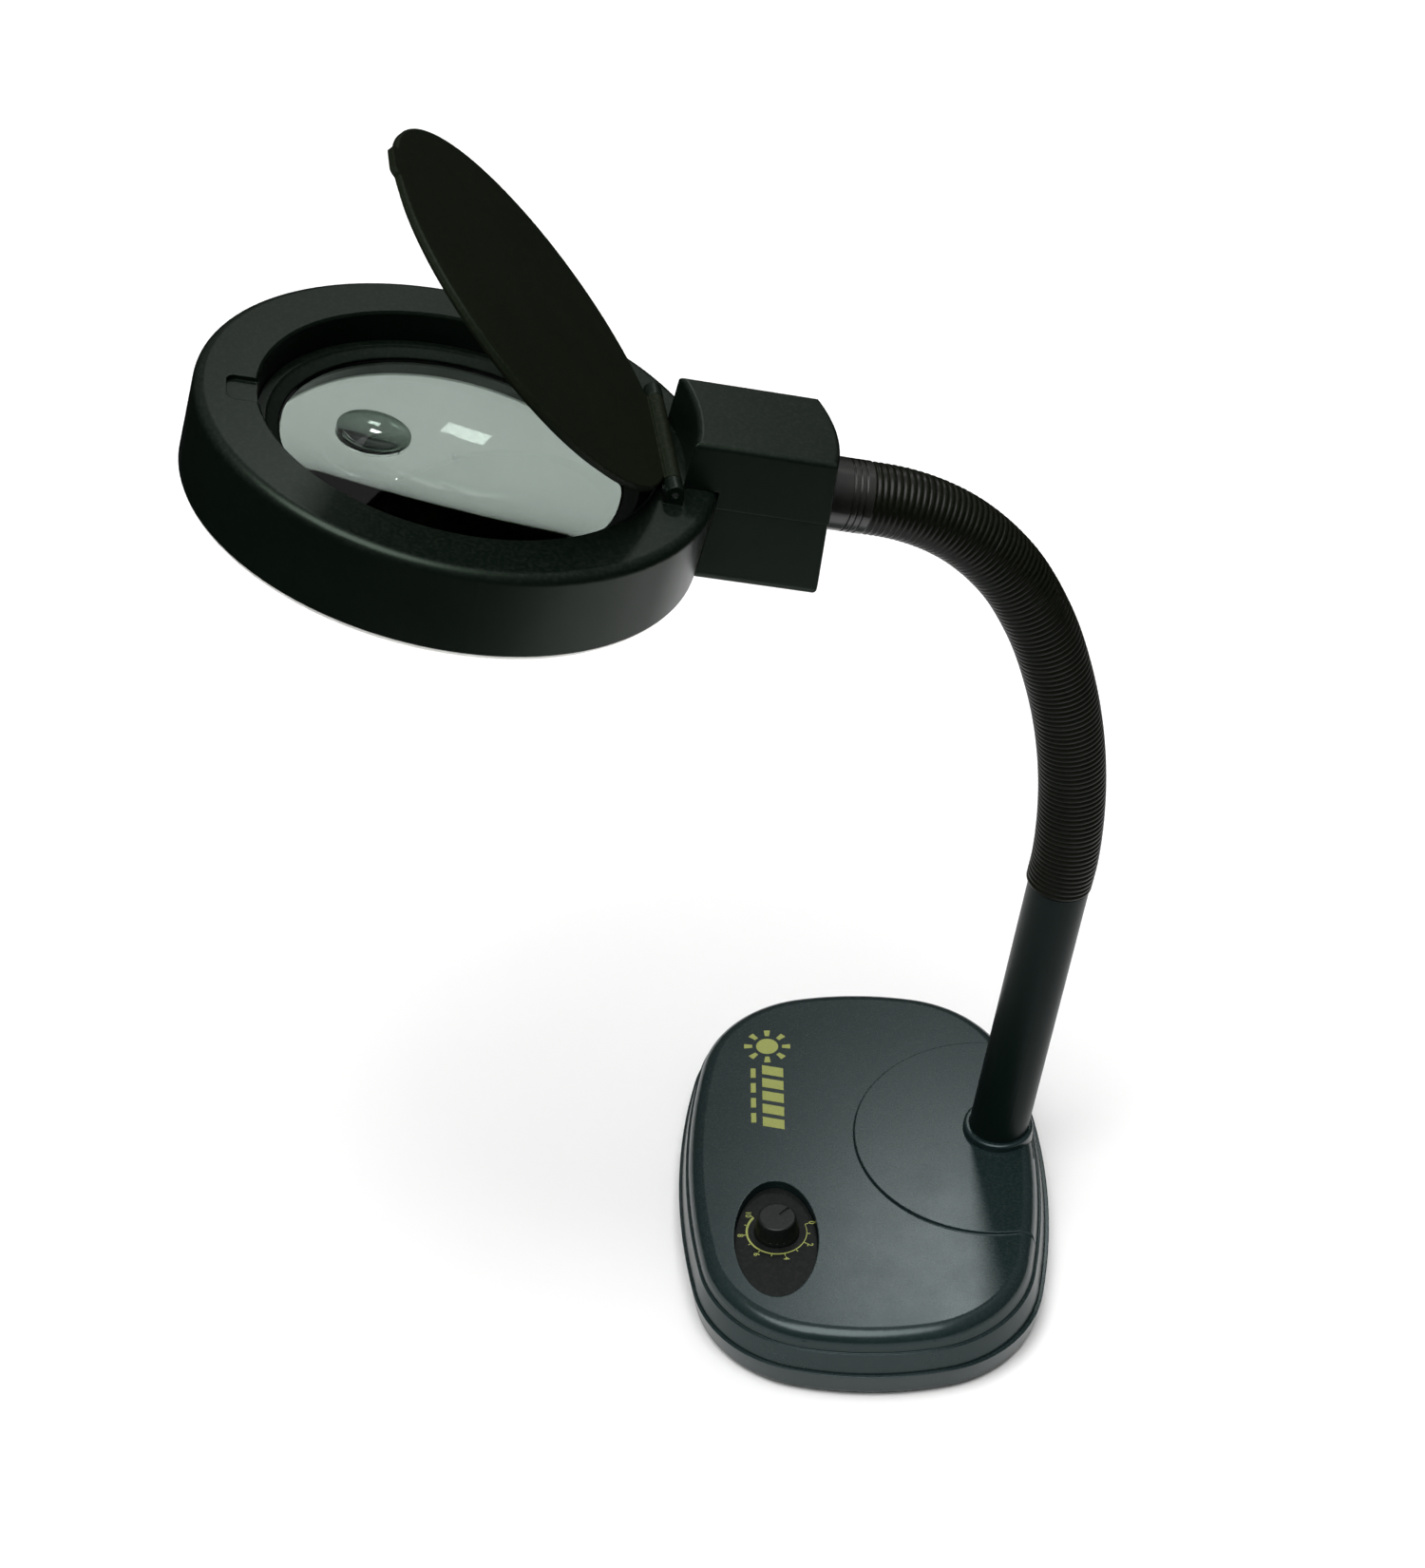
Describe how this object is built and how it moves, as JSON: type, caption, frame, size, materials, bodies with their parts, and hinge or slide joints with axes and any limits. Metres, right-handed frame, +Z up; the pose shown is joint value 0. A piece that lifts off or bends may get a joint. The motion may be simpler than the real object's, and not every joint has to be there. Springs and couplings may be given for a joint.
{
  "type": "desk magnifying lamp",
  "caption": "Lighted round magnifier with a flip-up lens lid on a bending gooseneck, standing on a weighted base with a rotary dimmer.",
  "frame": {"origin": "centre of the base's outline, on the table", "axes": "+Z is up, -Y is the front where the user sits and the lens reaches out, +X is the user's right"},
  "size_m": [0.178, 0.2824, 0.4213],
  "materials": {
    "base_shell": "satin",
    "rubber": "matte",
    "ballast": "matte",
    "screw_steel": "satin",
    "dial": "matte",
    "knob": "satin",
    "dimmer": "satin",
    "contact_brass": "satin",
    "circuit_board": "satin",
    "light_board": "satin",
    "components": "satin",
    "inlet": "satin",
    "lead": "satin",
    "stem_paint": "satin",
    "gooseneck": "satin",
    "head_shell": "satin",
    "lens_glass": "polished",
    "emitter": "gloss",
    "diffuser": "satin",
    "lid": "matte"
  },
  "bodies": {
    "base": {"base_cover": "base_shell", "base_bottom": "base_shell", "rubber_feet": "rubber", "ballast_plate": "ballast", "base_screws": "screw_steel", "ballast_screws": "screw_steel", "board_screws": "screw_steel", "dial_plate": "dial", "dimmer_body": "dimmer", "dimmer_terminals": "contact_brass", "dimmer_nut": "screw_steel", "driver_board": "circuit_board", "board_components": "components", "power_inlet": "inlet", "inlet_pin": "contact_brass", "inlet_lead": "lead", "dimmer_lead": "lead", "neck_collar": "base_shell", "neck_stem": "stem_paint", "neck_washer": "screw_steel", "neck_nut": "screw_steel", "gooseneck_root": "gooseneck", "neck_lead": "lead"},
    "knob": {"dimmer_knob": "knob", "dimmer_shaft": "screw_steel"},
    "neck_1": {"gooseneck_link_1": "gooseneck"},
    "neck_2": {"gooseneck_link_2": "gooseneck"},
    "neck_3": {"gooseneck_link_3": "gooseneck"},
    "neck_4": {"gooseneck_link_4": "gooseneck"},
    "neck_5": {"gooseneck_link_5": "gooseneck"},
    "neck_6": {"gooseneck_link_6": "gooseneck"},
    "neck_7": {"gooseneck_link_7": "gooseneck"},
    "head": {"ring_housing": "head_shell", "magnifier_lens": "lens_glass", "insert_lens": "lens_glass", "lens_gasket": "rubber", "lens_retaining_ring": "head_shell", "light_board": "light_board", "light_emitters": "emitter", "light_board_screws": "screw_steel", "diffuser_ring": "diffuser", "junction_box_top": "head_shell", "junction_box_bottom": "head_shell", "box_screws": "screw_steel", "tongue_screws": "screw_steel", "head_ferrule": "gooseneck", "ferrule_nut": "screw_steel", "head_lead": "lead", "hinge_pin": "screw_steel"},
    "lid": {"lens_lid": "lid"}
  },
  "joints": [
    {"name": "dimmer_turn", "type": "hinge", "parent": "base", "child": "knob", "pos_m": [0.034, -0.031, 0], "axis": [0, 0, -1], "range_deg": [0, 265]},
    {"name": "neck_lean", "type": "hinge", "parent": "base", "child": "neck_1", "pos_m": [-0.01427, 0.06332, 0.15098], "axis": [0.9914, 0.1305, 0], "range_deg": [-12, 12]},
    {"name": "neck_sideways", "type": "hinge", "parent": "neck_1", "child": "neck_2", "pos_m": [-0.01433, 0.06376, 0.17575], "axis": [-0.1304, 0.9907, 0.0397], "range_deg": [-12, 12]},
    {"name": "neck_lean_mid", "type": "hinge", "parent": "neck_2", "child": "neck_3", "pos_m": [-0.01401, 0.06137, 0.2004], "axis": [0.9914, 0.1305, 0], "range_deg": [-12, 12]},
    {"name": "neck_sideways_mid", "type": "hinge", "parent": "neck_3", "child": "neck_4", "pos_m": [-0.01333, 0.0562, 0.22462], "axis": [-0.1258, 0.9556, 0.2663], "range_deg": [-12, 12]},
    {"name": "neck_lean_high", "type": "hinge", "parent": "neck_4", "child": "neck_5", "pos_m": [-0.01228, 0.04822, 0.24804], "axis": [0.9914, 0.1305, 0], "range_deg": [-12, 12]},
    {"name": "neck_curl", "type": "hinge", "parent": "neck_5", "child": "neck_6", "pos_m": [-0.0107, 0.03618, 0.2696], "axis": [0.9914, 0.1305, 0], "range_deg": [-22, 10]},
    {"name": "neck_sideways_high", "type": "hinge", "parent": "neck_6", "child": "neck_7", "pos_m": [-0.00839, 0.01866, 0.2868], "axis": [-0.0737, 0.5599, 0.8253], "range_deg": [-12, 12]},
    {"name": "neck_curl_high", "type": "hinge", "parent": "neck_7", "child": "head", "pos_m": [-0.00546, -0.00359, 0.29704], "axis": [0.9914, 0.1305, 0], "range_deg": [-22, 10]},
    {"name": "lid_hinge", "type": "hinge", "parent": "head", "child": "lid", "pos_m": [0.00294, -0.06738, 0.32292], "axis": [-0.9914, -0.1305, 0], "range_deg": [-39, 61]}
  ],
  "couplings": [
    {"joint": "neck_lean_mid", "follows": "neck_lean", "ratio": 1},
    {"joint": "neck_lean_high", "follows": "neck_lean", "ratio": 1},
    {"joint": "neck_sideways_mid", "follows": "neck_sideways", "ratio": 1},
    {"joint": "neck_sideways_high", "follows": "neck_sideways", "ratio": 1},
    {"joint": "neck_curl_high", "follows": "neck_curl", "ratio": 1}
  ]
}
